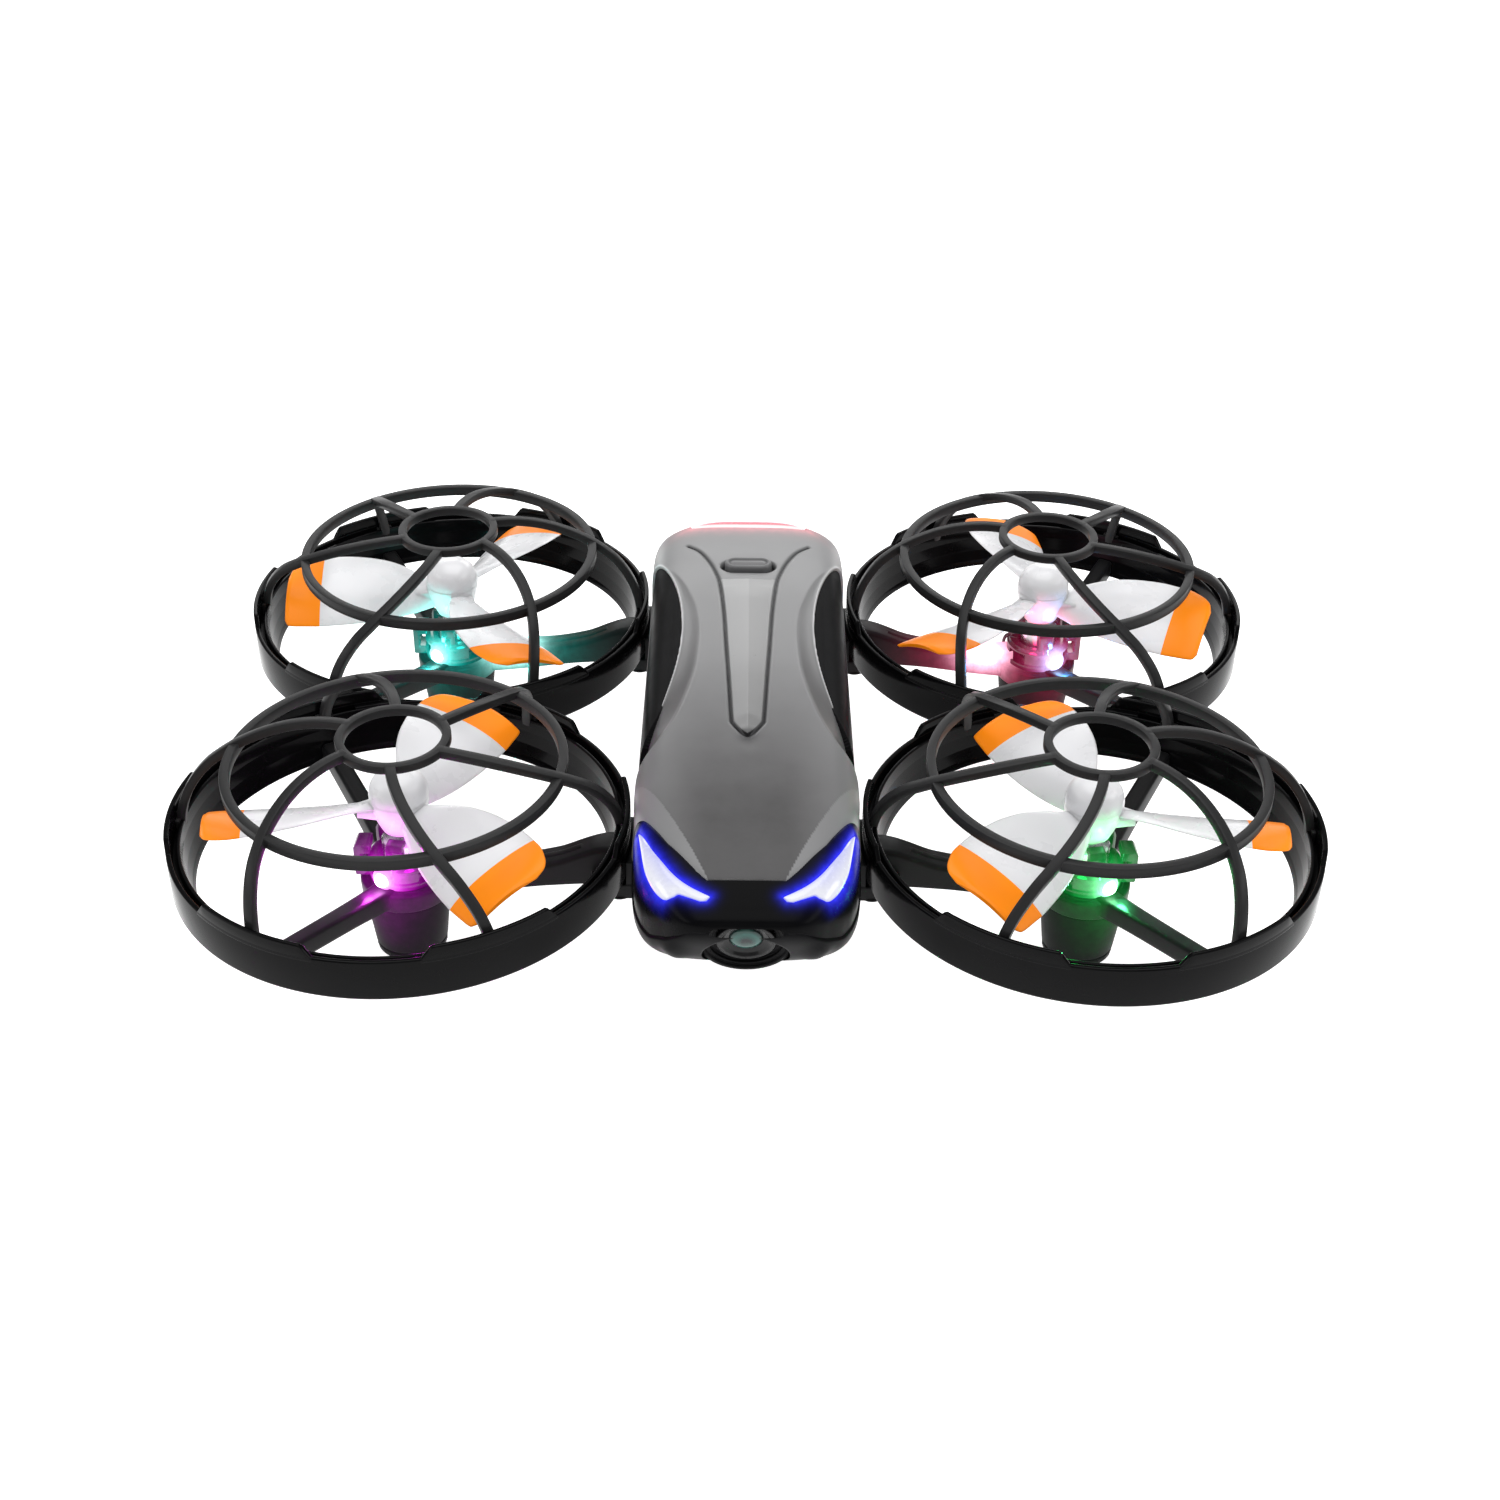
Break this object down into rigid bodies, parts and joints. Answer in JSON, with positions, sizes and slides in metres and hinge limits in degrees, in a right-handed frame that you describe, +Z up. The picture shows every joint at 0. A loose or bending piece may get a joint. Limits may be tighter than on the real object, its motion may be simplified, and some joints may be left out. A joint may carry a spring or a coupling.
{
  "type": "caged quadcopter",
  "caption": "Small ducted quadcopter with domed propeller cages, white three-blade propellers, a slim body, eye-shaped headlights and a tilting nose camera.",
  "frame": {"origin": "middle of the footprint, on the plane the four landing feet stand on", "axes": "-Y towards the nose, +X towards the drone's left, +Z up"},
  "size_m": [0.231, 0.1798, 0.0516],
  "materials": {
    "black_shell": "satin moulded plastic",
    "grey_shell": "satin grey moulded plastic",
    "dark_panel": "satin dark plastic",
    "grey_trim": "satin grey plastic",
    "nose_black": "semi-gloss black",
    "headlight": "diffusing lens over blue-white light",
    "tail_light": "diffusing lens over red light",
    "button_grey": "satin",
    "black_component": "matt",
    "camera_black": "gloss black",
    "camera_ring": "gloss black",
    "lens_glass": "coated lens glass",
    "circuit_board": "solder mask",
    "cream_connector": "moulded nylon",
    "battery_case": "textured black plastic",
    "white_board": "solder mask",
    "lead_red": "insulated wire",
    "screw_steel": "zinc plated",
    "duct_black": "semi-gloss black plastic",
    "cage_black": "satin black plastic",
    "arm_black": "satin black plastic",
    "pod_gloss_black": "gloss black",
    "foot_black": "satin black plastic",
    "motor_steel": "drawn steel can",
    "shaft_steel": "ground steel",
    "propeller_white": "semi-gloss white, orange tip bands painted on",
    "light_green": "lit lens",
    "light_magenta": "lit lens",
    "light_blue": "lit lens",
    "light_teal": "lit lens"
  },
  "bodies": {
    "airframe": {"lower_shell": "black_shell", "upper_shell": "grey_shell", "side_panel_left": "dark_panel", "side_panel_right": "dark_panel", "spine_trim": "grey_trim", "nose_cover": "nose_black", "headlight_left": "headlight", "headlight_right": "headlight", "tail_light_bar": "tail_light", "button_switch": "black_component", "camera_bracket": "black_component", "main_board": "circuit_board", "board_components": "black_component", "battery_connector": "cream_connector", "light_boards": "white_board", "motor_leads": "lead_red", "shell_screws": "screw_steel", "duct_screws": "screw_steel", "duct_front_left": "duct_black", "cage_front_left": "cage_black", "arm_front_left": "arm_black", "pod_front_left": "pod_gloss_black", "foot_front_left": "foot_black", "motor_front_left": "motor_steel", "light_front_left": "light_green", "duct_front_right": "duct_black", "cage_front_right": "cage_black", "arm_front_right": "arm_black", "pod_front_right": "pod_gloss_black", "foot_front_right": "foot_black", "motor_front_right": "motor_steel", "light_front_right": "light_magenta", "duct_rear_left": "duct_black", "cage_rear_left": "cage_black", "arm_rear_left": "arm_black", "pod_rear_left": "pod_gloss_black", "foot_rear_left": "foot_black", "motor_rear_left": "motor_steel", "light_rear_left": "light_blue", "duct_rear_right": "duct_black", "cage_rear_right": "cage_black", "arm_rear_right": "arm_black", "pod_rear_right": "pod_gloss_black", "foot_rear_right": "foot_black", "motor_rear_right": "motor_steel", "light_rear_right": "light_teal"},
    "battery": {"battery_pack": "battery_case"},
    "camera": {"camera_housing": "camera_black", "camera_lens_ring": "camera_ring", "camera_lens": "lens_glass", "camera_sensor": "circuit_board"},
    "button": {"power_button": "button_grey"},
    "rotor_front_left": {"propeller_front_left": "propeller_white", "shaft_front_left": "shaft_steel"},
    "rotor_front_right": {"propeller_front_right": "propeller_white", "shaft_front_right": "shaft_steel"},
    "rotor_rear_left": {"propeller_rear_left": "propeller_white", "shaft_rear_left": "shaft_steel"},
    "rotor_rear_right": {"propeller_rear_right": "propeller_white", "shaft_rear_right": "shaft_steel"}
  },
  "joints": [
    {"name": "battery_slide", "type": "slide", "parent": "airframe", "child": "battery", "axis": [0, 1, 0], "range_m": [0, 0.056]},
    {"name": "camera_tilt", "type": "hinge", "parent": "airframe", "child": "camera", "pos_m": [0, -0.081, 0.0336], "axis": [1, 0, 0], "range_deg": [-18, 40]},
    {"name": "power_press", "type": "slide", "parent": "airframe", "child": "button", "axis": [0, 0, -1], "range_m": [0, 0.0006], "stiffness_N_per_m": 600},
    {"name": "spin_front_left", "type": "hinge", "parent": "airframe", "child": "rotor_front_left", "pos_m": [0.0694, -0.0438, 0.0344], "axis": [0, 0, 1], "continuous": true},
    {"name": "spin_front_right", "type": "hinge", "parent": "airframe", "child": "rotor_front_right", "pos_m": [-0.0694, -0.0438, 0.0344], "axis": [0, 0, 1], "continuous": true},
    {"name": "spin_rear_left", "type": "hinge", "parent": "airframe", "child": "rotor_rear_left", "pos_m": [0.0694, 0.0438, 0.0344], "axis": [0, 0, 1], "continuous": true},
    {"name": "spin_rear_right", "type": "hinge", "parent": "airframe", "child": "rotor_rear_right", "pos_m": [-0.0694, 0.0438, 0.0344], "axis": [0, 0, 1], "continuous": true}
  ]
}
